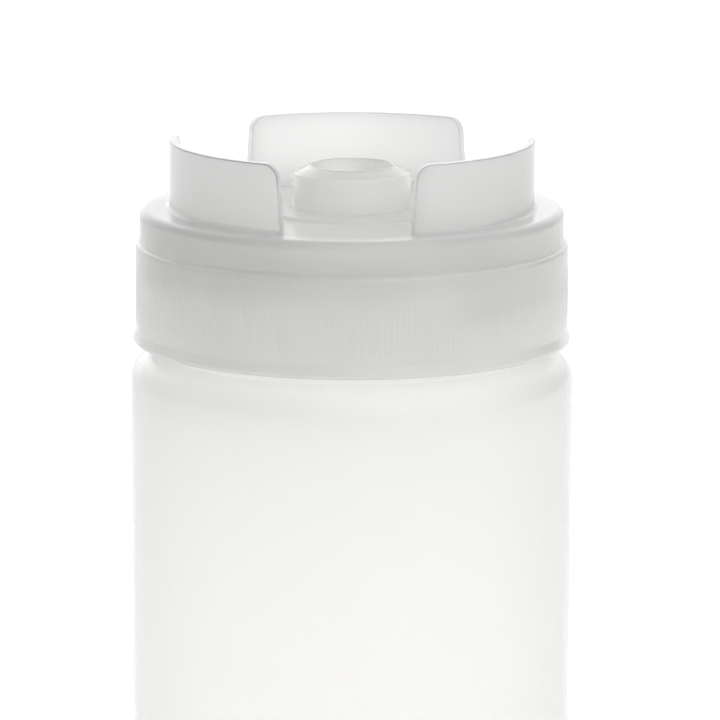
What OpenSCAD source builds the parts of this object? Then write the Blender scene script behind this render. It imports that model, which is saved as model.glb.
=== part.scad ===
// Wide-mouth squeeze bottle with a screw-on dispensing cap.
// The cap carries three curved stand walls, so that the bottle can rest upside
// down, round a self-closing slit valve of soft silicone.
// Origin: centre of the standing ring under the base. +Z up, +Y rear. Millimetres.

/* [Bottle] */
// Overall height, from the standing ring to the tops of the stand walls
overall_h = 184; // [150:1:245]
// Outside diameter of the squeeze body
body_d = 68.3; // [67.6:0.1:72]
// Wall thickness of the squeeze body
wall_t = 1.1; // [0.8:0.1:1.5]
// Radius of the shoulder, seen from the side
shoulder_r = 5.95; // [5.2:0.05:6.2]
// Radius of the bottom corner
base_corner_r = 4; // [3:0.5:6]
// Height of the push-up dome in the base
pushup_h = 4.5; // [2:0.5:8]

/* [Neck finish] */
// Outside diameter of the neck between its threads
neck_d = 60.2; // [60:0.1:60.4]
// Inside diameter of the mouth
mouth_d = 56.4; // [55:0.1:57.2]
// Outside diameter over the neck thread
thread_d = 62.6; // [62.4:0.1:62.8]
// Thread pitch, six threads to the inch
pitch = 4.233; // [4.233]
// Turns of thread on the neck
neck_turns = 1.35; // [1:0.05:1.5]

/* [Cap] */
// Outside diameter over the grip ribs
skirt_d = 66.6; // [66.2:0.1:68]
// Height of the ribbed skirt
skirt_h = 15.1; // [14.5:0.1:15.8]
// Height from the bottom of the skirt to the deck
deck_h = 20.6; // [20.4:0.1:21]
// Number of grip ribs
rib_count = 236; // [120:4:260]
// Depth of the grip ribs
rib_depth = 0.1; // [0.08:0.01:0.3]
// Smooth, slightly flared rim under the grip ribs
plain_rim_h = 1.9; // [1.5:0.05:2.5]
// Diameter of the plain shoulder above the skirt
cap_shoulder_d = 65.3; // [65:0.1:65.6]
// Edge radius of the cap's shoulder
cap_edge_r = 1.4; // [0.8:0.1:1.6]
// Turns of thread inside the cap
cap_turns = 1.2; // [1:0.05:1.4]

/* [Stand walls] */
// Outside diameter of the ring that the stand walls follow
fin_d = 56.1; // [54:0.1:57]
// Thickness of a stand wall
fin_t = 1.3; // [1:0.05:1.8]
// Height of the stand walls above the deck
fin_h = 10.45; // [9.5:0.05:12]
// Angle that each of the two front stand walls spans at its foot
fin_span = 79; // [70:0.5:90]
// Angle that the rear stand wall spans at its foot
rear_fin_span = 77.2; // [70:0.1:90]
// How far each end of a wall leans in from foot to top
fin_lean = 0.75; // [0:0.05:1.5]
// Radius of the upper corners
fin_corner_r = 2.5; // [1:0.1:4]

/* [Valve] */
// Diameter of the valve's head above the deck
valve_d = 18.58; // [18:0.02:19.4]
// Diameter of the hole in the deck that the valve is pressed into
valve_hole_d = 16.2; // [15.6:0.1:16.6]
// Diameter of the flange under the deck
flange_d = 23; // [20:0.5:26]
// Length of each of the two crossed slits
slit_len = 9; // [8:0.1:9.2]
// Thickness of the slit membrane
membrane_t = 0.7; // [0.5:0.05:0.8]

/* [Hidden] */
$fn = 180;

over = 1;               // cutting and buried shapes run past a face by this much
seat = 0.05;            // gap left at each seated face
gasket_t = 1;           // thickness of the sealing ring
floor_drop = 0.7;       // depth of the sunken floor below the ledge of the deck
floor_t = 1.6;          // thickness of the deck at the sunken floor

// Heights
z_skirt = overall_h - fin_h - deck_h;       // bottom of the cap's skirt
z_ribs = z_skirt + plain_rim_h;             // bottom of the ribs
z_step = z_skirt + skirt_h;                 // top of the ribs
z_deck = z_skirt + deck_h;                  // ledge of the deck
z_floor = z_deck - floor_drop;              // sunken floor inside the stand walls
z_under = z_floor - floor_t;                // underside of the deck
z_rim = z_under - gasket_t - 2*seat;        // top of the bottle's mouth
z_shoulder = z_skirt - 1 - shoulder_r;      // where the straight wall ends
z_membrane = z_deck + 3.1;                  // underside of the slit membrane
z_membrane_top = z_membrane + membrane_t;

// Radii
body_r = body_d/2;
neck_r = neck_d/2;
mouth_r = mouth_d/2;
skirt_r = skirt_d/2;
cap_shoulder_r = cap_shoulder_d/2;
cap_bore_r = thread_d/2 + 0.2;              // wall inside the cap
fin_r = fin_d/2;
valve_r = valve_d/2;

// Threads
thread_top = z_rim - 1.35;      // centre of the neck thread at its upper end
thread_start = -60;             // angle at which both threads begin
flank_gap = 1.3;                // cap thread lies this far under the neck thread

// Slits
half_slit = slit_len/2/sqrt(2); // distance of a petal's root from the axis
petal_gap = 0.03;               // clearance round a petal

// Colours
natural = [0.93, 0.93, 0.92];
milky = [0.82, 0.82, 0.81];
silicone = [0.83, 0.82, 0.79];
white_seal = [0.9, 0.9, 0.88];

// Profiles for rotate_extrude list [radius, height].

// Points of an arc in the profile plane, between two angles
function arc(centre_x, centre_z, radius, start, end, segments = 8) =
    [for (i = [0:segments])
        let (angle = start + (end - start)*i/segments)
        [centre_x + radius*cos(angle), centre_z + radius*sin(angle)]];

// Point on the parabolic dome of the base, at a share of its radius
function dome_point(share, radius, foot_z) =
    [radius*share, foot_z + pushup_h*(1 - share*share)];

// Solid helical ridge with four points to a section: foot, crest, crest, foot.
// It rises with the angle to top_z, and its crest fades out at both ends.
// foot_r is buried in the wall; a crest inside the foot makes an inner thread.
module thread_ridge(foot_r, wall_r, crest_r, foot_w, crest_w, turns, top_z) {
    step = 5;       // degrees between sections
    fade = 30;      // degrees over which an end fades out
    sections = round(turns*360/step);
    sweep = sections*step;
    last = 4*sections;
    // The extra degree keeps the end sections just proud of the wall
    function crest_share(angle) = min(1, (angle + 1)/fade, (sweep - angle + 1)/fade);
    points = [for (i = [0:sections])
        let (angle = i*step,
             ridge_r = wall_r + (crest_r - wall_r)*crest_share(angle),
             z = top_z - (sweep - angle)/360*pitch,
             x_share = cos(angle + thread_start),
             y_share = sin(angle + thread_start))
        for (corner = [[foot_r, -foot_w/2], [ridge_r, -crest_w/2],
                       [ridge_r, crest_w/2], [foot_r, foot_w/2]])
            [corner[0]*x_share, corner[0]*y_share, z + corner[1]]];
    outward = crest_r > foot_r;
    sides = [for (i = [0:sections - 1], j = [0:3])
        let (here = 4*i + j, next = 4*i + (j + 1)%4)
        each outward ? [[here, next, here + 4], [next, next + 4, here + 4]]
                     : [[here, here + 4, next], [next, here + 4, next + 4]]];
    ends = outward ? [[3, 2, 1, 0], [last, last + 1, last + 2, last + 3]]
                   : [[0, 1, 2, 3], [last + 3, last + 2, last + 1, last]];
    polyhedron(points = points, faces = concat(sides, ends), convexity = 6);
}

// Body: push-up base, straight squeeze wall, round shoulder and threaded mouth
module bottle() color(natural) {
    ring_r = body_r - base_corner_r;        // standing ring
    dome_r = 26.5;
    base_t = 1.5;
    shoulder_centre = body_r - shoulder_r;
    outer = concat(
        [for (i = [0:8]) dome_point(i/8, dome_r, 0)],
        arc(ring_r, base_corner_r, base_corner_r, -90, 0),
        arc(shoulder_centre, z_shoulder, shoulder_r, 0, 61),
        [[neck_r + 0.25, z_skirt - 1.15], [neck_r, z_skirt - 0.8]]);
    rim = [[neck_r, z_rim - 0.45], [neck_r - 0.15, z_rim - 0.12],
           [neck_r - 0.45, z_rim], [mouth_r + 0.45, z_rim],
           [mouth_r + 0.12, z_rim - 0.12], [mouth_r, z_rim - 0.45]];
    inner = concat(
        [[mouth_r, z_skirt + 1], [mouth_r + 0.1, z_skirt - 1.6]],
        arc(shoulder_centre, z_shoulder, shoulder_r - wall_t, 76, 0),
        arc(ring_r, base_corner_r + 0.4, base_corner_r - wall_t, 0, -90),
        [for (i = [8:-1:0]) dome_point(i/8, dome_r - 0.6, base_t)]);
    rotate_extrude() polygon(concat(outer, rim, inner));
    thread_ridge(foot_r = neck_r - 0.4, wall_r = neck_r, crest_r = thread_d/2,
                 foot_w = 2.4, crest_w = 0.9, turns = neck_turns, top_z = thread_top);
}

// Soft flat ring that seals the mouth against the underside of the deck
module cap_gasket() color(white_seal)
    translate([0, 0, z_rim + seat])
        difference() {
            cylinder(r = cap_bore_r - 0.35, h = gasket_t);
            translate([0, 0, -over]) cylinder(r = mouth_r - 0.1, h = gasket_t + 2*over);
        }

// What is cut away past one end of a stand wall, drawn in the plane of that
// end (across, up). The edge leans from +half_lean at the foot to -half_lean.
module fin_end_cut() {
    half_lean = fin_lean/2;
    corner_x = -half_lean - fin_corner_r;
    cut_w = 14;
    difference() {
        translate([corner_x, -0.001]) square([cut_w, fin_h + 2*over]);
        polygon(concat(
            [[corner_x - over, -over], [half_lean, -over], [half_lean, 0]],
            arc(corner_x, fin_h - fin_corner_r, fin_corner_r, 4, 90),
            [[corner_x - over, fin_h]]));
    }
}

// One stand wall, centred on +Y, standing on z = 0 with its root buried below
module stand_wall(span) {
    wedge_angle = span/2 + 4;               // rough sector, trimmed by the end cuts
    wedge_r = 40;
    wedge_tip = 45;
    lean_angle = (fin_lean/2)/fin_r*180/PI; // mean end lies this far inside the foot
    difference() {
        intersection() {
            difference() {
                translate([0, 0, -over]) cylinder(r = fin_r, h = fin_h + over);
                translate([0, 0, -2*over]) cylinder(r = fin_r - fin_t, h = fin_h + 4*over);
            }
            translate([0, 0, -1.5*over]) linear_extrude(height = fin_h + 3*over)
                polygon([[0, 0],
                         [wedge_r*sin(-wedge_angle), wedge_r*cos(wedge_angle)],
                         [0, wedge_tip],
                         [wedge_r*sin(wedge_angle), wedge_r*cos(wedge_angle)]]);
        }
        for (side = [0, 1]) mirror([side, 0, 0])
            rotate([0, 0, -(span/2 - lean_angle)])
                translate([0, fin_r + 2*over, 0])
                    rotate([90, 0, 0])
                        linear_extrude(height = fin_t + 4*over) fin_end_cut();
    }
}

// Skirt core, plain rim, shoulder, ledge and raised valve seat. Its inner parts
// are trimmed by the cap's hollow and valve hole.
module cap_shell(floor_r) {
    flare_r = skirt_r + 0.4;                // the skirt's lower rim stands out
    rim_edge_r = 0.3;
    core_r = skirt_r - rib_depth - 0.1;     // behind the ribs
    boss_r = 13.8;                          // raised seat for the valve
    trim_r = 25;                            // inside the hollow
    boss_trim_r = 7;                        // inside the valve hole
    rotate_extrude() polygon(concat(
        [[trim_r, z_skirt + 3], [cap_bore_r - 0.4, z_skirt]],
        arc(flare_r - rim_edge_r, z_skirt + rim_edge_r, rim_edge_r, -90, 0, 4),
        [[flare_r, z_skirt + 0.55], [skirt_r + 0.03, z_ribs],
         [core_r, z_ribs], [core_r, z_step - 0.1], [cap_shoulder_r, z_step]],
        arc(cap_shoulder_r - cap_edge_r, z_deck - cap_edge_r, cap_edge_r, 0, 90, 6),
        [[floor_r, z_deck], [floor_r - 0.25, z_floor],
         [boss_r + 0.6, z_floor], [boss_r, z_deck], [boss_trim_r, z_deck],
         [boss_trim_r, z_deck - 1], [trim_r, z_deck - 1]]));
}

// Band of grip ribs, with two points to a rib: crest and root
module grip_ribs()
    translate([0, 0, z_ribs])
        linear_extrude(height = z_step - z_ribs)
            polygon([for (i = [0:2*rib_count - 1])
                let (angle = i*180/rib_count, radius = skirt_r - (i%2)*rib_depth)
                [radius*cos(angle), radius*sin(angle)]]);

// Solid disc that fills the cap up to the sunken floor, before it is hollowed
module deck_fill(floor_r)
    translate([0, 0, z_skirt + 2])
        cylinder(r = floor_r + 1, h = z_floor - z_skirt - 2);

// One moulding: ribbed skirt with a thread inside, plain shoulder, sunken deck
// with a raised seat for the valve, and three stand walls
module dispensing_cap() color(milky) {
    floor_r = fin_r - 0.35;                 // top edge of the sunken floor
    difference() {
        union() {
            cap_shell(floor_r);
            deck_fill(floor_r);
            grip_ribs();
        }
        // hollow for the mouth of the bottle
        translate([0, 0, z_skirt - over])
            cylinder(r = cap_bore_r, h = z_under - z_skirt + over);
        // lead-in chamfer at the bottom of the skirt
        translate([0, 0, z_skirt - 0.01])
            cylinder(r1 = cap_bore_r + 0.5, r2 = cap_bore_r, h = 0.7);
        // hole for the valve
        translate([0, 0, z_under - over])
            cylinder(d = valve_hole_d, h = z_deck - z_under + 2*over);
    }
    thread_ridge(foot_r = cap_bore_r + 0.4, wall_r = cap_bore_r, crest_r = neck_r + 0.5,
                 foot_w = 1.9, crest_w = 0.7, turns = cap_turns,
                 top_z = thread_top - flank_gap - (neck_turns - cap_turns)*pitch);
    for (k = [0:2]) rotate([0, 0, 120*k])
        translate([0, 0, z_deck]) stand_wall(k == 0 ? rear_fin_span : fin_span);
}

// Outline of the opening that the four petals close
module petal_opening() {
    reach = half_slit + membrane_t + petal_gap;
    square([2*reach, 2*half_slit], center = true);
    square([2*half_slit, 2*reach], center = true);
}

// Silicone grommet: head, groove over the edge of the deck, flange underneath,
// and a thin membrane across the bore
module valve_body() color(silicone) {
    flange_r = flange_d/2;
    z_flange = z_under - 2.2;               // bottom of the flange
    groove_r = valve_hole_d/2 - 0.05;
    z_head = z_deck + seat;
    head_edge_r = 0.75;
    z_lip = z_deck + 6.4;                   // top of the lip round the dish
    lip_r = 6.4;
    dish_r = 5.4;
    bore_r = 5.9;
    difference() {
        rotate_extrude() polygon(concat(
            [[bore_r, z_flange], [flange_r - 0.4, z_flange],
             [flange_r, z_under - 1.8], [flange_r, z_under - 0.3],
             [flange_r - 0.25, z_under - seat], [groove_r, z_under - seat],
             [groove_r, z_head], [valve_r - head_edge_r, z_head]],
            arc(valve_r - head_edge_r, z_head + head_edge_r, head_edge_r, -60, 0, 4),
            [[valve_r - 0.05, z_deck + 3], [valve_r - 0.25, z_deck + 4.95],
             [valve_r - 0.5, z_deck + 5.25],
             [lip_r + 0.25, z_lip - 0.12], [lip_r, z_lip], [lip_r - 0.25, z_lip - 0.08],
             [dish_r + 0.25, z_membrane_top + 0.5], [dish_r, z_membrane_top],
             [0, z_membrane_top], [0, z_membrane],
             [dish_r, z_membrane], [bore_r, z_membrane - 0.6]]));
        translate([0, 0, z_membrane - over])
            linear_extrude(height = membrane_t + 2*over) petal_opening();
    }
}

// One triangular leaf of the crossed slit, pointing at the axis from +X. Its
// root line lies at x = half_slit on the underside of the membrane, and its
// outer edge is rounded about it.
module petal() {
    half_w = half_slit - petal_gap;
    root_end = half_slit + membrane_t + over;
    intersection() {
        // side view: flat leaf with a quarter-round root
        translate([0, half_slit, z_membrane]) rotate([90, 0, 0])
            linear_extrude(height = 2*half_slit) {
                square([half_slit, membrane_t]);
                intersection() {
                    translate([half_slit, 0]) circle(r = membrane_t, $fn = 64);
                    translate([half_slit, 0]) square([2*membrane_t, 2*membrane_t]);
                }
            }
        // plan view: triangle with a straight root strip
        translate([0, 0, z_membrane - over]) linear_extrude(height = membrane_t + 2*over)
            polygon([[petal_gap, 0], [half_slit, half_w], [root_end, half_w],
                     [root_end, -half_w], [half_slit, -half_w]]);
    }
}

module valve_petal_1() color(silicone) petal();
module valve_petal_2() color(silicone) rotate([0, 0, 90]) petal();
module valve_petal_3() color(silicone) rotate([0, 0, 180]) petal();
module valve_petal_4() color(silicone) rotate([0, 0, 270]) petal();

bottle();
cap_gasket();
dispensing_cap();
valve_body();
valve_petal_1();
valve_petal_2();
valve_petal_3();
valve_petal_4();
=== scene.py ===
# A squeeze bottle of translucent plastic, standing on z = 0 with its axis on Z.
# The cap on top has a ribbed skirt, a sunken deck with three curved upright walls, and a
# slit silicone valve in the middle. A soft gasket seals the bottle's mouth.
# Meshes are worked out in millimetres and stored in metres. The camera stands on the -Y side.
import math

import bpy
import numpy as np
from mathutils import Matrix, Vector


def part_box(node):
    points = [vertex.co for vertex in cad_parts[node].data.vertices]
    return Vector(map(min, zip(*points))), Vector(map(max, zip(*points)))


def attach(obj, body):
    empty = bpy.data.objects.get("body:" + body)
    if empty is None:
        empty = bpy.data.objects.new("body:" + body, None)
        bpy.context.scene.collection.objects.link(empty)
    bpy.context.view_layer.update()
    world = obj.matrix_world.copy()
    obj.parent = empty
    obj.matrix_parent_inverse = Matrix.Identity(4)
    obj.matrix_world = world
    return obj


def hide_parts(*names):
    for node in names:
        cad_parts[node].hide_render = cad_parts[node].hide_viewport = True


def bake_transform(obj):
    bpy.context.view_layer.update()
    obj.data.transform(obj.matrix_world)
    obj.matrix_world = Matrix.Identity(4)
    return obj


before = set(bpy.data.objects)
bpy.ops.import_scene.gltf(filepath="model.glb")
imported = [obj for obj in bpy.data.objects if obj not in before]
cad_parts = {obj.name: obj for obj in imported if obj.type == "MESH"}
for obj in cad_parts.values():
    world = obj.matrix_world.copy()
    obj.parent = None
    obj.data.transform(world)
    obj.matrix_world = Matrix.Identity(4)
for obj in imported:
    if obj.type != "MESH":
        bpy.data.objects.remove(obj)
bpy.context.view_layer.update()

MM = 0.001


# ---------------------------------------------------------------- dimensions, mm
def cad_box(name):
    """Low and high corner of a CAD piece."""
    return [np.array(corner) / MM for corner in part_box(name)]


cap_lo, cap_hi = cad_box("dispensing_cap")
bottle_hi = cad_box("bottle")[1]
gasket_lo, gasket_hi = cad_box("cap_gasket")
petal_lo, petal_hi = cad_box("valve_petal_1")

# bottle
BODY_R = bottle_hi[0]
Z_RIM = bottle_hi[2]
NECK_R = 30.1
MOUTH_R = 28.2
THREAD_R = 31.3
PITCH = 4.233
Z_THREAD_END = Z_RIM - 1.35
WALL = 1.1
HEEL_R = 4.0
SHOULDER_R = 5.95
PUSH_UP_R, PUSH_UP_H = 26.5, 4.5    # parabolic hollow under the base
BASE_T = 1.5

# cap
Z_SKIRT = cap_lo[2]
Z_TOP = cap_hi[2]
Z_STEP = Z_SKIRT + 15.1             # ledge above the ribbed skirt
Z_DECK = Z_SKIRT + 20.6
RECESS = 0.7                        # floor of the deck below its edge
Z_FLOOR = Z_DECK - RECESS
Z_UNDER = Z_FLOOR - 1.6
RIM_BEAD_R = cap_hi[0]
SKIRT_R = 33.3
CAP_R = 32.65
BORE_R = 31.5
BOSS_R = 13.8                       # raised ring round the valve hole
RIBS = 236
RIB_SEGMENTS = 6 * RIBS
RIB_DEPTH = 0.06
Z_SHOULDER = Z_SKIRT - 1 - SHOULDER_R   # centre of the bottle's shoulder arc

# upright walls on the deck
FIN_R, FIN_T, FIN_H = 28.05, 1.3, Z_TOP - Z_DECK
FIN_EDGE_R = 0.24
FIN_CORNER_R = 2.5
FIN_FOOT_R = 0.65
FIN_TAPER = 0.75                    # each end leans in by this much over the height

# valve
VALVE_HOLE_R = 8.1
VALVE_R = 9.29
VALVE_FLANGE_R = 11.5
FLAP_R = 4.85
Z_MEMBRANE = petal_lo[2]
MEMBRANE_T = petal_hi[2] - petal_lo[2]


# ---------------------------------------------------------------- mesh tools
def smoothstep(low, high, x):
    t = np.clip((np.asarray(x, float) - low) / (high - low), 0, 1)
    return t * t * (3 - 2 * t)


def fall(low, high, x):
    """1 below low, 0 above high, smooth between."""
    return 1 - smoothstep(low, high, x)


def arc(centre_r, centre_z, radius, start_deg, end_deg, steps):
    angles = np.radians(np.linspace(start_deg, end_deg, steps + 1))
    return [(centre_r + radius * math.cos(t), centre_z + radius * math.sin(t)) for t in angles]


def rounded(corners, steps, longest=None):
    """Polyline from (r, z, fillet) corners, each fillet an arc; long runs are cut up."""
    out = []
    for i, corner in enumerate(corners):
        point = np.array(corner[:2], float)
        fillet = corner[2] if len(corner) > 2 else 0.0
        if fillet <= 0 or i in (0, len(corners) - 1):
            out.append(point)
            continue
        back = np.array(corners[i - 1][:2], float) - point
        ahead = np.array(corners[i + 1][:2], float) - point
        len_back, len_ahead = np.linalg.norm(back), np.linalg.norm(ahead)
        back, ahead = back / len_back, ahead / len_ahead
        half = math.acos(float(np.clip(back @ ahead, -1, 1))) / 2
        if half > math.pi / 2 - 0.02:   # nearly straight
            out.append(point)
            continue
        cut = min(fillet / math.tan(half), 0.48 * len_back, 0.48 * len_ahead)
        radius = cut * math.tan(half)
        bisector = (back + ahead) / np.linalg.norm(back + ahead)
        centre = point + bisector * (radius / math.sin(half))
        start = math.atan2(*(point + back * cut - centre)[::-1])
        end = math.atan2(*(point + ahead * cut - centre)[::-1])
        turn = (end - start + math.pi) % (2 * math.pi) - math.pi
        for k in range(steps + 1):
            t = start + turn * k / steps
            out.append(centre + radius * np.array([math.cos(t), math.sin(t)]))
    if longest:
        fine = [out[0]]
        for a, b in zip(out, out[1:]):
            pieces = max(1, int(np.linalg.norm(b - a) / longest))
            fine += [a + (b - a) * j / pieces for j in range(1, pieces + 1)]
        out = fine
    clean = [out[0]]
    for point in out[1:]:
        if np.linalg.norm(point - clean[-1]) > 1e-4:
            clean.append(point)
    return clean


def new_object(name, data):
    ob = bpy.data.objects.new(name, data)
    bpy.context.scene.collection.objects.link(ob)
    return ob


class Mesh:
    """Gathers vertices (mm) and faces, then makes one Blender object in metres."""

    def __init__(self):
        self.verts, self.faces, self.tones = [], [], []
        self.count = 0

    def add(self, verts, faces, tone=None):
        verts = np.asarray(verts, float)
        self.verts.append(verts)
        self.tones.append(np.zeros(len(verts)) if tone is None else np.asarray(tone, float))
        self.faces.extend([[self.count + i for i in face] for face in faces])
        self.count += len(verts)

    def make(self, name, sharp_deg):
        me = bpy.data.meshes.new(name)
        me.from_pydata((np.concatenate(self.verts) * MM).tolist(), [], self.faces)
        # how much lighter or darker the plastic shows at each point: painted light and shade,
        # partly from how thick it is there
        tones = np.concatenate(self.tones).astype(np.float32)
        me.attributes.new("thickness_and_painted_light_tone", "FLOAT", "POINT").data.foreach_set("value", tones)
        me.validate()
        me.shade_smooth()
        me.set_sharp_from_angle(angle=math.radians(sharp_deg))
        me.update()
        return new_object(name, me)


def grid_faces(rows, cols):
    corners = [i * cols + j for i in range(rows - 1) for j in range(cols - 1)]
    return [[a, a + cols, a + cols + 1, a + 1] for a in corners]


def stitch(start0, count0, start1, count1):
    """Faces between two rings, where one count divides the other. Ring 1 lies further along."""
    if count0 == count1:
        return [[start0 + k, start1 + k, start1 + (k + 1) % count1, start0 + (k + 1) % count0]
                for k in range(count0)]
    if count0 > count1:
        fine, fine_n, coarse, coarse_n, order = start0, count0, start1, count1, 1
    else:
        fine, fine_n, coarse, coarse_n, order = start1, count1, start0, count0, -1
    faces = []
    ratio = fine_n // coarse_n
    for k in range(coarse_n):
        after = (k + 1) % coarse_n
        for j in range(ratio):
            a = k * ratio + j
            apex = coarse + (k if j < ratio // 2 else after)
            faces.append([fine + a, apex, fine + (a + 1) % fine_n][::order])
        middle = fine + (k * ratio + ratio // 2) % fine_n
        faces.append([middle] + [coarse + k, coarse + after][::order])
    return faces


def revolve(mesh, rows, closed=False, shape=lambda r, z, t: r, tone=lambda r, z: 0.0):
    """Turns rows of (r, z, segments) about Z; a row with r = 0 is a pole.
    An outline drawn anticlockwise, with r to the right and z up, gets outward faces."""
    verts, faces, rings, tones = [], [], [], []
    start = 0
    for r, z, n in rows:
        if r < 1e-6:
            n = 1
            verts.append(np.array([[0.0, 0.0, z]]))
        else:
            t = np.linspace(0, 2 * np.pi, n, endpoint=False)
            radius = shape(r, z, t)
            verts.append(np.stack([radius * np.cos(t), radius * np.sin(t), np.full(n, z)], 1))
        tones.append(np.full(n, float(tone(r, z))))
        rings.append((start, n))
        start += n
    pairs = list(zip(rings, rings[1:]))
    if closed:
        pairs.append((rings[-1], rings[0]))
    for (i0, n0), (i1, n1) in pairs:
        if n0 == 1:
            faces += [[i0, i1 + k, i1 + (k + 1) % n1] for k in range(n1)]
        elif n1 == 1:
            faces += [[i0 + k, i1, i0 + (k + 1) % n0] for k in range(n0)]
        else:
            faces += stitch(i0, n0, i1, n1)
    mesh.add(np.concatenate(verts), [face[::-1] for face in faces], np.concatenate(tones))


def tube(mesh, sections, flip=False):
    """Joins equal closed sections into a tube with both ends capped."""
    sections = np.array(sections)
    count, m = sections.shape[:2]
    faces = []
    for i in range(count - 1):
        for j in range(m):
            p, q = m * i + j, m * i + (j + 1) % m
            faces.append([p, q, q + m, p + m])
    faces.append(list(range(m))[::-1])
    faces.append([m * (count - 1) + j for j in range(m)])
    if flip:
        faces = [face[::-1] for face in faces]
    mesh.add(sections.reshape(-1, 3), faces)


def thread(mesh, wall_r, crest_r, foot, crest, turns, z_end):
    """Rounded helical ridge on a wall, running in and out over 30 degrees at its ends."""
    root, step, phase = 0.35, 2.5, -60      # root sunk into the wall, mm; the rest in degrees
    n = int(round(turns * 360 / step))
    total = n * step
    out = 1 if crest_r >= wall_r else -1
    sections = []
    for i in range(n + 1):
        a = i * step
        k = math.sin(min(1.0, (a + 1) / 30, (total - a + 1) / 30) * math.pi / 2)
        top = wall_r + (crest_r - wall_r) * k
        z = z_end - (total - a) / 360 * PITCH
        t = math.radians(a + phase)
        e = 0.16 * k                        # rounding of the crest
        half = [(top - out * e, crest / 2 + e * 0.25), (wall_r - out * root, foot / 2)]
        points = [(r, -dz) for r, dz in half[::-1]]
        points += [(top, -crest / 2 + e * 0.8), (top, crest / 2 - e * 0.8)] + half
        sections.append([[r * math.cos(t), r * math.sin(t), z + dz] for r, dz in points])
    tube(mesh, sections, flip=out < 0)


# ---------------------------------------------------------------- bottle
def wall_offset(z, t):
    """The soft moulded wall sinks slightly and isn't quite round; t is the angle about Z."""
    share = smoothstep(6, 24, z) * fall(Z_SHOULDER - 6, Z_SHOULDER + 4, z)
    return share * (-0.10 - 0.10 * math.sin((z - 10) / 136 * math.pi)
                    + 0.05 * np.cos(2 * t + 0.7) + 0.035 * np.cos(3 * t + z * 0.03)
                    + 0.018 * np.cos(5 * t - z * 0.055)
                    + 0.015 * np.sin(z * 0.16 + 2.0 * np.cos(t)))


def bottle_outside():
    """(r, z) from the middle of the base up to the rim and over to the mouth."""
    out = [(PUSH_UP_R * k, PUSH_UP_H * (1 - k * k)) for k in (i / 25 for i in range(25))]
    out += [(26.3, 0.06), (26.8, 0.0), (28.5, 0.0)]
    out += arc(BODY_R - HEEL_R, HEEL_R, HEEL_R, -90, 0, 14)
    out += [(BODY_R, z) for z in np.linspace(HEEL_R + 1.2, Z_SHOULDER - 0.8, 64)]
    out += arc(BODY_R - SHOULDER_R, Z_SHOULDER, SHOULDER_R, 0, 60.5, 16)
    # concave blend from the shoulder into the neck
    r, z = out[-1]
    out += [(r - 0.32, z + 0.19), (NECK_R + 0.24, z + 0.40), (NECK_R + 0.07, z + 0.66),
            (NECK_R, z + 1.0)]
    out += [(NECK_R, h) for h in np.linspace(z + 1.0 + 0.6, Z_RIM - 0.55, 26)]
    lip = 0.42
    out += arc(NECK_R - lip, Z_RIM - lip, lip, 12, 90, 6)
    out += arc(MOUTH_R + lip, Z_RIM - lip, lip, 90, 168, 6)
    return out


def bottle_inside():
    """(r, z) from the mouth down to the middle of the base."""
    out = [(MOUTH_R, z) for z in np.linspace(Z_RIM - 0.55, Z_SKIRT + 0.6, 20)]
    out += [(MOUTH_R + 0.04, Z_SKIRT - 0.5), (MOUTH_R + 0.22, Z_SKIRT - 1.5),
            (MOUTH_R + 0.7, Z_SKIRT - 2.02)]
    out += arc(BODY_R - SHOULDER_R, Z_SHOULDER, SHOULDER_R - WALL, 74, 0, 14)
    out += [(BODY_R - WALL, z) for z in np.linspace(Z_SHOULDER - 0.8, HEEL_R + 1.6, 64)]
    out += arc(BODY_R - HEEL_R, HEEL_R + 0.4, HEEL_R - WALL, 0, -90, 10)
    out += [(25.9 * k, BASE_T + PUSH_UP_H * (1 - k * k))
            for k in (i / 25 for i in range(25, -1, -1))]
    return out


def bottle_tone(r, z):
    """Painted shade in a band on the shoulder under the cap's skirt, partly from the thick wall
    there; darker towards the heel and in the base.
    """
    if z > 100 and r < 31:
        return 0.0
    return (-0.022 * smoothstep(141.5, 147.6, z) * fall(148.4, 150.6, z)
            - 0.030 * fall(12, 86, z) - 0.075 * fall(1.5, 9, z))


def parting_line(mesh, outline, side):
    """Fine raised bead from the base to the shoulder, at the angle side about Z."""
    path = np.array([(r, z) for r, z in outline
                     if r > 26.2 and z < Z_SHOULDER + SHOULDER_R * 0.9])
    along = np.gradient(path, axis=0)
    along /= np.linalg.norm(along, axis=1)[:, None]
    normals = np.stack([along[:, 1], -along[:, 0]], 1)
    c, s = math.cos(side), math.sin(side)
    sections = []
    for i, ((r, z), normal) in enumerate(zip(path, normals)):
        fade = min(1.0, i / 6, (len(path) - 1 - i) / 8)
        base = np.array([r + wall_offset(z, side), z])
        # (sideways, height above the wall)
        bead = [(-0.2, -0.05), (-0.11, 0.045 * fade), (0.0, 0.085 * fade - 0.005),
                (0.11, 0.045 * fade), (0.2, -0.05)]
        section = []
        for off, height in bead:
            q = base + normal * height
            section.append([q[0] * c - off * s, q[0] * s + off * c, q[1]])
        sections.append(section)
    tube(mesh, sections, flip=True)


def base_weld(mesh):
    """Pinch-off weld along X across the push-up."""
    reach = 21
    sections = []
    for x in np.linspace(-reach, reach, 61):
        z = PUSH_UP_H * (1 - (abs(x) / PUSH_UP_R) ** 2)
        swell = math.sin(min(1.0, (reach - abs(x)) / 2.5) * math.pi / 2)
        h = 0.55 * swell + 0.02
        w = 0.75 * swell + 0.05
        ring = [(w, 0.15), (w * 0.95, -h * 0.55), (w * 0.55, -h * 0.95), (0, -h),
                (-w * 0.55, -h * 0.95), (-w * 0.95, -h * 0.55), (-w, 0.15)]
        sections.append([[x, y, z + dz] for y, dz in ring])
    tube(mesh, sections)


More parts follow.
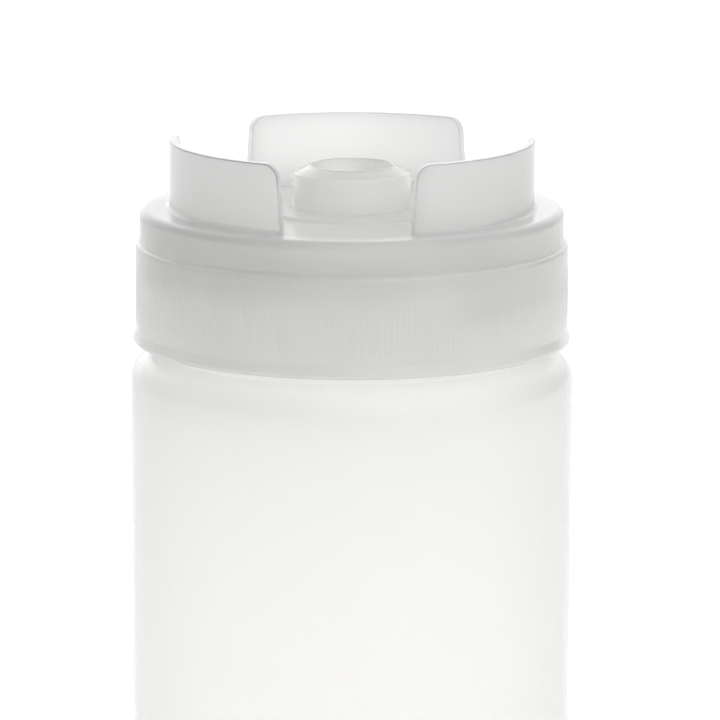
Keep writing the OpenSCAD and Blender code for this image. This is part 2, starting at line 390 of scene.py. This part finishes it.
def build_bottle():
    mesh = Mesh()
    outside = bottle_outside()
    revolve(mesh, [(r, z, 288) for r, z in outside + bottle_inside()],
            shape=lambda r, z, t: r + wall_offset(z, t), tone=bottle_tone)
    thread(mesh, NECK_R, THREAD_R, foot=2.4, crest=0.9, turns=1.35, z_end=Z_THREAD_END)
    for side in (0.0, math.pi):
        parting_line(mesh, outside, side)
    base_weld(mesh)
    return mesh.make("bottle_shell", 30)


# ---------------------------------------------------------------- cap
def flare(height):
    """How far a wall's concave foot stands out at a height above its root."""
    height = min(max(height, 0.0), FIN_FOOT_R)
    return FIN_FOOT_R - math.sqrt(max(0.0, FIN_FOOT_R ** 2 - (FIN_FOOT_R - height) ** 2))


def fin_rows():
    """(height over the deck, half width, outward direction of the end) up one wall."""
    half_rest = -FIN_EDGE_R
    heights = [-1.1] + [-RECESS + FIN_FOOT_R * k / 5 for k in range(6)]
    heights += [FIN_FOOT_R * k / 7 for k in range(8)]
    heights = sorted(set(round(z, 4) for z in heights))
    heights += list(np.linspace(FIN_FOOT_R + 0.3, FIN_H - FIN_CORNER_R - 0.05, 10))
    rows = [(z, half_rest - FIN_TAPER * max(z, 0.0) / FIN_H, (1.0, 0.0)) for z in heights]
    corner_z = FIN_H - FIN_CORNER_R
    corner = -FIN_TAPER * corner_z / FIN_H - FIN_CORNER_R
    radius = FIN_CORNER_R - FIN_EDGE_R
    for k in range(13):
        t = math.radians(7.5 * k)
        rows.append((corner_z + radius * math.sin(t), corner + radius * math.cos(t),
                     (math.cos(t), math.sin(t))))
    return rows


def fin(mesh, centre_deg, span_deg, painted_light_shift, line):
    """One upright wall: a grid for each broad face and a rounded rim that runs up one end,
    over the top and down the other. painted_light_shift is painted light or shade over the
    whole wall; line scales the painted shade lines along the rim."""
    half_span = math.radians(span_deg / 2) * FIN_R
    rows = [(z, half_span + inset, end) for z, inset, end in fin_rows()]
    row_n, col_n = len(rows), 81
    across = np.linspace(-1, 1, col_n)
    inner0 = row_n * col_n
    rim0 = 2 * inner0

    def at(r, along, z):
        angle = math.radians(centre_deg) - along / FIN_R
        return [r * math.cos(angle), r * math.sin(angle), Z_DECK + z]

    def face_radii(z):
        return FIN_R + flare(z), FIN_R - FIN_T - flare(z + RECESS)

    verts, tone = [], []
    for side in (0, 1):     # outer face, inner face
        for z, half, _ in rows:
            # painted light towards the foot, lifting the contact shade where the wall meets the
            # deck
            if side == 0:
                painted_foot_light = 0.03 * (1 - min(1.0, max(z, 0.0) / 1.6)) ** 1.5
            else:
                painted_foot_light = 0.06 * (1 - min(1.0, (z + RECESS) / 2.4))
            verts += [at(face_radii(z)[side], q * half, z) for q in across]
            tone += [painted_foot_light + painted_light_shift] * col_n
    faces = []
    for quad in grid_faces(row_n, col_n):
        faces.append(quad)
        faces.append([inner0 + i for i in quad[:1] + quad[:0:-1]])

    # rim section, outer face to inner: (outward, depth below the face, on inner side, painted
    # shade tone)
    section = []
    for inner, dark, order in ((0, 0.46, range(1, 6)), (1, 0.20, range(5, 0, -1))):
        for k in order:
            t = math.radians(18 * k)
            section.append((FIN_EDGE_R * math.sin(t), FIN_EDGE_R * (1 - math.cos(t)), inner,
                            -dark * line * math.sin(math.radians(36 * k))))
    section_n = len(section)
    # painted light along the rim's ridge of the back wall, painted shade on the front walls
    painted_ridge_tone = 0.07 if painted_light_shift > 0 else -0.10
    # (row, column, which end) round the edge of the faces
    loop = [(i, 0, -1) for i in range(row_n)]
    loop += [(row_n - 1, j, 0) for j in range(1, col_n - 1)]
    loop += [(i, col_n - 1, 1) for i in range(row_n - 1, -1, -1)]
    for i, j, end in loop:
        z, half, direction = rows[i]
        dx, dz = (end * direction[0], direction[1]) if end else (0.0, 1.0)
        outer_r, inner_r = face_radii(z)
        # the painted shade lines are stronger along the top
        strength = 0.55 + 0.45 * smoothstep(FIN_H - FIN_CORNER_R - 1.5, FIN_H - FIN_CORNER_R, z)
        for off, depth, inner, painted_line_shade in section:
            r = inner_r + depth if inner else outer_r - depth
            verts.append(at(r, across[j] * half + dx * off, z + dz * off))
            on_ridge = depth >= FIN_EDGE_R - 1e-6
            tone.append(painted_ridge_tone if on_ridge else painted_line_shade * strength)

    def strip(step):
        i, j, _ = loop[step]
        start = rim0 + step * section_n
        return [i * col_n + j, *range(start, start + section_n), inner0 + i * col_n + j]

    for step in range(len(loop) - 1):
        here, ahead = strip(step), strip(step + 1)
        for k in range(section_n + 1):
            faces.append([here[k], here[k + 1], ahead[k + 1], ahead[k]])
    # underside, inside the deck
    last, first = strip(len(loop) - 1), strip(0)
    faces.append([*range(col_n), *last[1:-1],
                  *range(inner0 + col_n - 1, inner0 - 1, -1), *first[-2:0:-1]])
    mesh.add(verts, faces, tone)


# painted light and shade on the cap moulding, in places partly from how thick the wall is
def cap_tone(r, z):
    over_step, over_rim = z - Z_STEP, z - Z_SKIRT
    tone = 0.0
    if r > 29.5:
        # painted shade above the step, partly where the deck's edge backs the wall
        tone -= (0.058 * (0.45 + 0.55 * smoothstep(0, 3.5, over_step))
                 * smoothstep(-0.5, 0.5, over_step) * fall(Z_DECK - 0.5, Z_DECK - 0.05, z))
        # painted light just under the step
        tone += 0.018 * smoothstep(-9, -1.5, over_step) * fall(-0.2, 0.8, over_step)
        # painted shade on the ledge, which faces up and would catch the light as a line
        tone -= 0.015 * smoothstep(-0.30, -0.05, over_step) * fall(0.25, 0.8, over_step)
        # painted shade down the skirt, towards its rim, and under the rim's bead
        tone -= 0.022 * fall(-6, -1, over_step)
        tone -= 0.02 * fall(0.6, 3.2, over_rim)
        tone -= 0.10 * fall(0.05, 0.28, over_rim) * (r > 33)
    # painted light on the deck near the upright walls and round the valve, lifting their contact
    # shade
    if 25.5 < r < 31.4 and z > Z_FLOOR - 0.1:
        tone += 0.05 * fall(29.5, 31.4, r)
    if r < 14.5 and z > Z_UNDER + 0.5:
        tone += 0.08 * fall(9.5, 13.5, r)
    return tone


def build_cap():
    mesh = Mesh()
    # one outline, anticlockwise: up the outside, over the deck, down the hole, back underneath
    rim = rounded([
        (BORE_R + 0.5, Z_SKIRT + 0.02), (BORE_R + 0.75, Z_SKIRT, 0.15),
        (RIM_BEAD_R - 0.02, Z_SKIRT, 0.30), (RIM_BEAD_R, Z_SKIRT + 0.55, 0.35),
        (SKIRT_R + 0.02, Z_SKIRT + 1.9, 1.2), (SKIRT_R, Z_SKIRT + 2.6)], 6)
    # ribbed band: (r, z, share of the rib depth)
    z_band = Z_SKIRT + 2.6
    band = [(SKIRT_R, z_band + 0.01, 0.0), (SKIRT_R, z_band + 0.4, 0.35),
            (SKIRT_R, z_band + 0.9, 0.8), (SKIRT_R, z_band + 1.4, 1.0)]
    band += [(SKIRT_R, z, 1 - 0.75 * smoothstep(Z_STEP - 7, Z_STEP - 1.5, z))
             for z in np.linspace(z_band + 2.4, Z_STEP - 1.5, 9)]
    band += [(SKIRT_R - 0.01, Z_STEP - 0.75, 0.2), (SKIRT_R - 0.05, Z_STEP - 0.45, 0.15),
             (SKIRT_R - 0.13, Z_STEP - 0.22, 0.1), (SKIRT_R - 0.25, Z_STEP - 0.08, 0.0)]
    ledge_r = FIN_R - 0.35
    rest = rounded([
        (SKIRT_R - 0.34, Z_STEP - 0.02), (CAP_R + 0.06, Z_STEP + 0.10, 0.3),
        (CAP_R, Z_STEP + 0.7, 0.5), (CAP_R, Z_DECK, 1.4), (ledge_r, Z_DECK, 0.22),
        (ledge_r - 0.25, Z_FLOOR, 0.3), (BOSS_R + 0.55, Z_FLOOR, 0.4), (BOSS_R, Z_DECK, 0.3),
        (VALVE_HOLE_R + 0.3, Z_DECK, 0.1), (VALVE_HOLE_R, Z_DECK - 0.3, 0.1),
        (VALVE_HOLE_R, Z_UNDER + 0.25, 0.1), (VALVE_HOLE_R + 0.25, Z_UNDER, 0.1),
        (BORE_R, Z_UNDER, 0.5), (BORE_R, Z_SKIRT + 0.9, 0.4),
        (BORE_R + 0.48, Z_SKIRT + 0.12)], 8, longest=0.9)
    rows = [(r, z, RIBS) for r, z in rim]
    rows += [(r, z, RIB_SEGMENTS) for r, z, _ in band]
    rows += [(r, z, RIBS) for r, z in rest]
    rib_share = {round(z, 5): share for _, z, share in band}

    def ribbed(r, z, t):
        if len(t) != RIB_SEGMENTS:
            return r
        groove = (0.5 - 0.5 * np.cos(RIBS * t)) ** 0.75
        return r - RIB_DEPTH * rib_share[round(z, 5)] * groove

    revolve(mesh, rows, closed=True, shape=ribbed, tone=cap_tone)
    thread(mesh, BORE_R, NECK_R + 0.5, foot=1.9, crest=0.7, turns=1.2,
           z_end=Z_THREAD_END - 1.3 - 0.15 * PITCH)
    # span in degrees, painted light shift (back wall lighter, front walls darker), strength of
    # the painted shade lines along the rim
    fins = [(77.2, 0.035, 0.8), (79.0, -0.02, 1.0), (79.0, -0.025, 0.6)]
    for k, (span_deg, painted_light_shift, line) in enumerate(fins):
        fin(mesh, 90 + 120 * k, span_deg, painted_light_shift, line)
    return mesh.make("cap_moulding", 34)


# ---------------------------------------------------------------- gasket
def build_gasket():
    mesh = Mesh()
    low, high = gasket_lo[2], gasket_hi[2]
    outer, inner = gasket_hi[0], MOUTH_R - 0.1
    middle = (low + high) / 2
    outline = rounded([(inner, middle), (inner, low, 0.2), (outer, low, 0.2),
                       (outer, high, 0.2), (inner, high, 0.2), (inner, middle + 0.001)],
                      4, longest=0.4)
    revolve(mesh, [(r, z, 360) for r, z in outline[:-1]], closed=True)
    return mesh.make("seal_ring_soft", 40)


# ---------------------------------------------------------------- valve
Z_LIP = Z_DECK + 6.4
Z_MEMBRANE_TOP = Z_MEMBRANE + MEMBRANE_T


# painted light and shade on the valve head
def valve_tone(r, z):
    if z < Z_DECK - 0.2:
        return 0.0
    if r < 6.2 and z > Z_MEMBRANE_TOP - 0.1:    # inside of the lip: painted light
        return 0.05
    if r < 6.7 and z > Z_LIP - 0.14:            # crest of the lip: painted shade as a dark outline
        return -0.30
    if z > Z_DECK + 5.35:                       # sloping top: painted shade
        return -0.05
    if z > Z_DECK + 4.75:                       # edge of the top: painted highlight
        return 0.04
    # painted light on the side, stronger at the foot to lift its contact shade
    return 0.02 + 0.06 * fall(Z_DECK + 0.3, Z_DECK + 2.2, z)


def build_valve():
    mesh = Mesh()
    neck_r, bore_r = VALVE_HOLE_R - 0.05, 5.9
    z_flange, z_under = Z_UNDER - 2.2, Z_UNDER - 0.05
    outline = rounded([
        (FLAP_R, Z_MEMBRANE), (5.35, Z_MEMBRANE, 0.2), (bore_r, Z_MEMBRANE - 0.6, 0.3),
        (bore_r, z_flange, 0.3), (VALVE_FLANGE_R, z_flange, 0.45),
        (VALVE_FLANGE_R, z_under, 0.3), (neck_r, z_under, 0.12),
        (neck_r, Z_DECK + 0.02, 0.12), (VALVE_R - 0.06, Z_DECK + 0.02, 0.05),
        (VALVE_R, Z_DECK + 1.3, 0.8), (VALVE_R - 0.27, Z_DECK + 5.2, 0.35),
        (6.55, Z_LIP - 0.03, 0.3), (6.2, Z_LIP - 0.02, 0.2),
        (5.62, Z_MEMBRANE_TOP + 0.6, 0.5), (5.35, Z_MEMBRANE_TOP, 0.25),
        (FLAP_R, Z_MEMBRANE_TOP)], 8, longest=0.35)
    revolve(mesh, [(r, z, 288) for r, z in outline], closed=True, tone=valve_tone)
    return mesh.make("valve_head", 36)


def build_flap(k):
    """One quarter of the slit membrane, from the centre to just inside the valve's ring."""
    mesh = Mesh()
    slit_half = 0.012
    steps = 36
    tops, bottoms = [], []
    radii = np.concatenate([np.linspace(0.04, 0.6, 5)[:-1], np.linspace(0.6, FLAP_R + 0.02, 26)])
    for r in radii:
        limit = math.pi / 4
        if r <= 4.5:
            limit -= math.asin(min(0.9, slit_half / max(r, 0.03)))
        for j in range(steps + 1):
            a = -limit + 2 * limit * j / steps
            edge = min(abs(a + limit), abs(a - limit)) * r
            # the membrane thins towards the centre, its lips are rounded and it sags
            lip = fall(4.3, 4.7, r) * max(0.0, 1 - edge / 0.12) ** 2
            thin = 0.10 * (1 - min(1.0, r / 4.6)) + 0.07 * lip
            sag = 0.18 * (1 - (min(r, FLAP_R) / FLAP_R) ** 2)
            x, y = r * math.cos(a), r * math.sin(a)
            tops.append([x, y, Z_MEMBRANE_TOP - thin - sag])
            bottoms.append([x, y, Z_MEMBRANE + thin * 0.3 - sag])
    n, w = len(radii), steps + 1
    under = n * w
    faces = grid_faces(n, w)
    faces += [[under + i for i in face[::-1]] for face in faces]
    loop = [*range(w), *(i * w + steps for i in range(1, n)),
            *((n - 1) * w + j for j in range(steps - 1, -1, -1)),
            *(i * w for i in range(n - 2, 0, -1))]
    faces += [[a, b, under + b, under + a] for a, b in zip(loop, loop[1:] + loop[:1])]
    mesh.add(tops + bottoms, faces)
    ob = mesh.make(f"valve_flap_{k + 1}", 40)
    ob.data.transform(Matrix.Rotation(math.pi / 2 * k, 4, "Z"))
    return ob


bottle = build_bottle()
cap = build_cap()
gasket = build_gasket()
valve = build_valve()
flaps = [build_flap(k) for k in range(4)]


# ---------------------------------------------------------------- materials
def empty_tree(owner):
    owner.use_nodes = True
    owner.node_tree.nodes.clear()
    return owner.node_tree


def feed(tree, socket, value):
    """Links a node's first output or a socket, or sets a plain value."""
    if isinstance(value, bpy.types.Node):
        value = value.outputs[0]
    if isinstance(value, bpy.types.NodeSocket):
        tree.links.new(value, socket)
    else:
        socket.default_value = value


def node(tree, kind, *by_place, operation=None, **by_name):
    made = tree.nodes.new("ShaderNode" + kind)
    if operation:
        made.operation = operation
    for place, value in enumerate(by_place):
        feed(tree, made.inputs[place], value)
    for name, value in by_name.items():
        feed(tree, made.inputs[name.replace("_", " ")], value)
    return made


def ramp(tree, factor, low, high, warm=0.0):
    """Runs between two greys, tinted by warm."""
    made = node(tree, "ValToRGB", Fac=factor)
    for element, place, grey in zip(made.color_ramp.elements, (0.30, 0.70), (low, high)):
        element.position = place
        element.color = (grey + warm, grey, grey - 2 * warm, 1)
    return made


def smooth_range(tree, value, **limits):
    made = node(tree, "MapRange", Value=value, **limits)
    made.interpolation_type = "SMOOTHSTEP"
    return made


def plastic(name, low, high, translucency, rough, bump, scale, warm, stretch=(1, 1, 1),
            ior=1.5, skin=0.8, clear=0.0, clear_rough=0.0, edge=0.0):
    """Unpigmented plastic: under a thin glossy skin part of the light scatters back and the
    rest goes through the wall.
    low, high, warm: cloudy body colour; scale, stretch: size and shape of the clouds;
    translucency: share let through; rough, ior, skin: roughness, index and strength of the skin;
    bump: fine mould texture; clear, clear_rough: share that passes straight through and its
    blur; edge: painted shade where the wall is seen edge-on."""
    mat = bpy.data.materials.new(name)
    tree = empty_tree(mat)
    out = node(tree, "OutputMaterial")
    place = node(tree, "TexCoord").outputs["Object"]
    stretched = node(tree, "Mapping", Vector=place, Scale=stretch)
    cloud = node(tree, "TexNoise", Vector=stretched, Scale=scale, Detail=4.0, Roughness=0.55)
    fine = node(tree, "TexNoise", Vector=place, Scale=scale * 26, Detail=3.0, Roughness=0.6)
    colour = ramp(tree, cloud, low, high, warm)
    # tone from wall thickness and painted light and shade, kept under full white
    depth = node(tree, "Attribute")
    depth.attribute_name = "thickness_and_painted_light_tone"
    factor = node(tree, "Math", depth.outputs["Fac"], 1.0, operation="ADD")
    colour = node(tree, "VectorMath", colour, Scale=factor, operation="SCALE")
    colour = node(tree, "VectorMath", colour, (0.998, 0.998, 0.998), operation="MINIMUM")
    if edge:
        # painted shade, for camera rays only: seen edge-on, the path through the wall is longer
        # and the tone drops
        facing = node(tree, "LayerWeight", Blend=0.5).outputs["Facing"]
        squared = node(tree, "Math", facing, 2.0, operation="POWER")
        seen = node(tree, "LightPath").outputs["Is Camera Ray"]
        own = node(tree, "Math", squared, seen, operation="MULTIPLY")
        dim = node(tree, "Math", own, -edge, 1.0, operation="MULTIPLY_ADD")
        colour = node(tree, "VectorMath", colour, Scale=dim, operation="SCALE")
    skin_rough = node(tree, "MapRange", Value=cloud, To_Min=rough - 0.04, To_Max=rough + 0.05)
    normal = node(tree, "Bump", Strength=bump, Distance=0.00005, Height=fine)
    diffuse = node(tree, "BsdfDiffuse", Color=colour, Normal=normal)
    through = node(tree, "BsdfTranslucent", Color=colour, Normal=normal)
    surface = node(tree, "MixShader", translucency, diffuse, through)
    if clear:
        straight = node(tree, "BsdfRefraction", Color=colour, Normal=normal,
                        Roughness=clear_rough, IOR=ior)
        surface = node(tree, "MixShader", clear, surface, straight)
    gloss = node(tree, "BsdfGlossy", Color=(1, 1, 1, 1), Roughness=skin_rough, Normal=normal)
    fresnel = node(tree, "Fresnel", IOR=ior, Normal=normal)
    # the skin mirrors from outside only: light inside the wall is already mixed
    inside = node(tree, "NewGeometry").outputs["Backfacing"]
    outside = node(tree, "Math", inside, -skin, skin, operation="MULTIPLY_ADD")
    share = node(tree, "Math", fresnel, outside, operation="MULTIPLY")
    feed(tree, out.inputs["Surface"], node(tree, "MixShader", share, surface, gloss))
    return mat


mat_bottle = plastic("natural_ldpe", low=0.993, high=0.998, translucency=0.89, rough=0.22,
                     bump=0.25, scale=60, warm=0.002, stretch=(1, 1, 0.35), skin=0.9, edge=0.30)
mat_cap = plastic("milky_pp", low=0.894, high=0.914, translucency=0.84, rough=0.15,
                  bump=0.15, scale=90, warm=0.0015)
mat_seal = plastic("seal_foam", low=0.86, high=0.9, translucency=0.15, rough=0.7,
                   bump=0.5, scale=300, warm=0.004)
mat_valve = plastic("silicone", low=0.972, high=0.988, translucency=0.7, rough=0.10,
                    bump=0.12, scale=120, warm=0.005, ior=1.41, skin=1.0,
                    clear=0.10, clear_rough=0.12)


# ---------------------------------------------------------------- places in the frame
def dress(ob, cad_name, mat):
    """Gives a piece and the hidden CAD solid it stands for the same finish."""
    for target in (ob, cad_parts[cad_name]):
        target.data.materials.clear()
        target.data.materials.append(mat)


# piece, what it rides on, CAD solid, material slot, material
for ob, carrier, cad_name, slot, mat in [
        (bottle, "bottle", "bottle", "bottle_plastic", mat_bottle),
        (cap, "cap", "dispensing_cap", "cap_plastic", mat_cap),
        (gasket, "seal_ring", "cap_gasket", "seal_rubber", mat_seal),
        (valve, "cap", "valve_body", "valve_silicone", mat_valve)]:
    dress(ob, cad_name, mat)
    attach(ob, carrier)
    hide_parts(cad_name)

# each flap takes the valve's finish, with its placement baked into the mesh, and its petal's CAD
# solid is hidden
for k, flap in enumerate(flaps):
    dress(flap, f"valve_petal_{k + 1}", mat_valve)
    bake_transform(flap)
    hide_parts(f"valve_petal_{k + 1}")


# ---------------------------------------------------------------- stage, in metres
def floor_material():
    mat = bpy.data.materials.new("studio_floor")
    tree = empty_tree(mat)
    place = node(tree, "TexCoord").outputs["Object"]
    cloud = node(tree, "TexNoise", Vector=place, Scale=3.0, Detail=2.0)
    diffuse = node(tree, "BsdfDiffuse", Color=ramp(tree, cloud, low=0.80, high=0.83))
    # the glow drops close to the base: a soft contact shade
    distance = node(tree, "VectorMath", place, operation="LENGTH").outputs["Value"]
    glow = smooth_range(tree, distance, From_Min=0.026, From_Max=0.125, To_Min=0.20, To_Max=0.58)
    both = node(tree, "AddShader", diffuse, node(tree, "Emission", Strength=glow))
    node(tree, "OutputMaterial", Surface=both)
    return mat


def build_floor():
    """Square grid, finest under the bottle."""
    cells, half, crowding, z = 96, 6.0, 2.2, -0.0001
    stations = [i / cells * 2 - 1 for i in range(cells + 1)]
    places = [math.copysign(abs(u) ** crowding, u) * half for u in stations]
    me = bpy.data.meshes.new("floor")
    me.from_pydata([[x, y, z] for x in places for y in places], [],
                   grid_faces(cells + 1, cells + 1))
    ob = new_object("floor", me)
    me.materials.append(floor_material())


# soft boxes as smooth lobes of the surrounding light: (direction, strength)
LOBES = [
    ((0.0, 0.996, 0.087), 0.88),
    ((-0.704, 0.704, 0.087), 0.72),
    ((0.0, 0.743, 0.669), 0.70),
    ((0.0, -0.743, 0.669), 0.45),
    ((0.60, -0.45, 0.60), 1.22),
    ((0.704, -0.704, 0.087), 0.11),
]
LOBE_START, LOBE_FULL = 0.5, 1.0    # cosines from the lobe's direction
WHITE = (1, 1, 1, 1)


def build_world():
    """White to the camera, lit by the lobes for everything else."""
    world = bpy.data.worlds.new("studio")
    bpy.context.scene.world = world
    tree = empty_tree(world)
    view = node(tree, "TexCoord").outputs["Generated"]
    total = 0.0
    for direction, power in LOBES:
        cosine = node(tree, "VectorMath", view, Vector(direction).normalized(),
                      operation="DOT_PRODUCT").outputs["Value"]
        lobe = smooth_range(tree, cosine, From_Min=LOBE_START, From_Max=LOBE_FULL,
                            To_Min=0.0, To_Max=power)
        total = node(tree, "Math", lobe, total, operation="ADD")
    lit = node(tree, "Background", Color=WHITE, Strength=total)
    backdrop = node(tree, "Background", Color=WHITE, Strength=1.0)
    seen = node(tree, "LightPath").outputs["Is Camera Ray"]
    node(tree, "OutputWorld", Surface=node(tree, "MixShader", seen, lit, backdrop))


def build_camera():
    distance, rise = 799.2, 155.3778    # mm from the axis, and above the skirt's lower edge
    azimuth = math.radians(1.63)        # round from -Y towards +X
    pitch, yaw, roll = 0.19636, 0.00160281, 0.00224     # radians: down, to the right, about view
    data = bpy.data.cameras.new("camera")
    data.sensor_width = 36
    data.lens = 263.6
    data.clip_start, data.clip_end = 0.05, 50
    ob = new_object("camera", data)
    ob.location = Vector((math.sin(azimuth) * distance, -math.cos(azimuth) * distance,
                          Z_SKIRT + rise)) * MM
    forward = Vector((-math.sin(azimuth), math.cos(azimuth), 0))
    right = Vector((math.cos(azimuth), math.sin(azimuth), 0))
    level = forward * math.cos(yaw) + right * math.sin(yaw)
    view = level * math.cos(pitch) + Vector((0, 0, -math.sin(pitch)))
    ob.rotation_mode = "QUATERNION"
    ob.rotation_quaternion = (view.to_track_quat("-Z", "Y")
                              @ Matrix.Rotation(roll, 4, "Z").to_quaternion())
    bpy.context.scene.camera = ob


build_floor()
build_world()
build_camera()
settings = bpy.context.scene.view_settings
settings.view_transform = "Standard"
settings.look = "None"
settings.exposure = 0.0
settings.gamma = 1.0
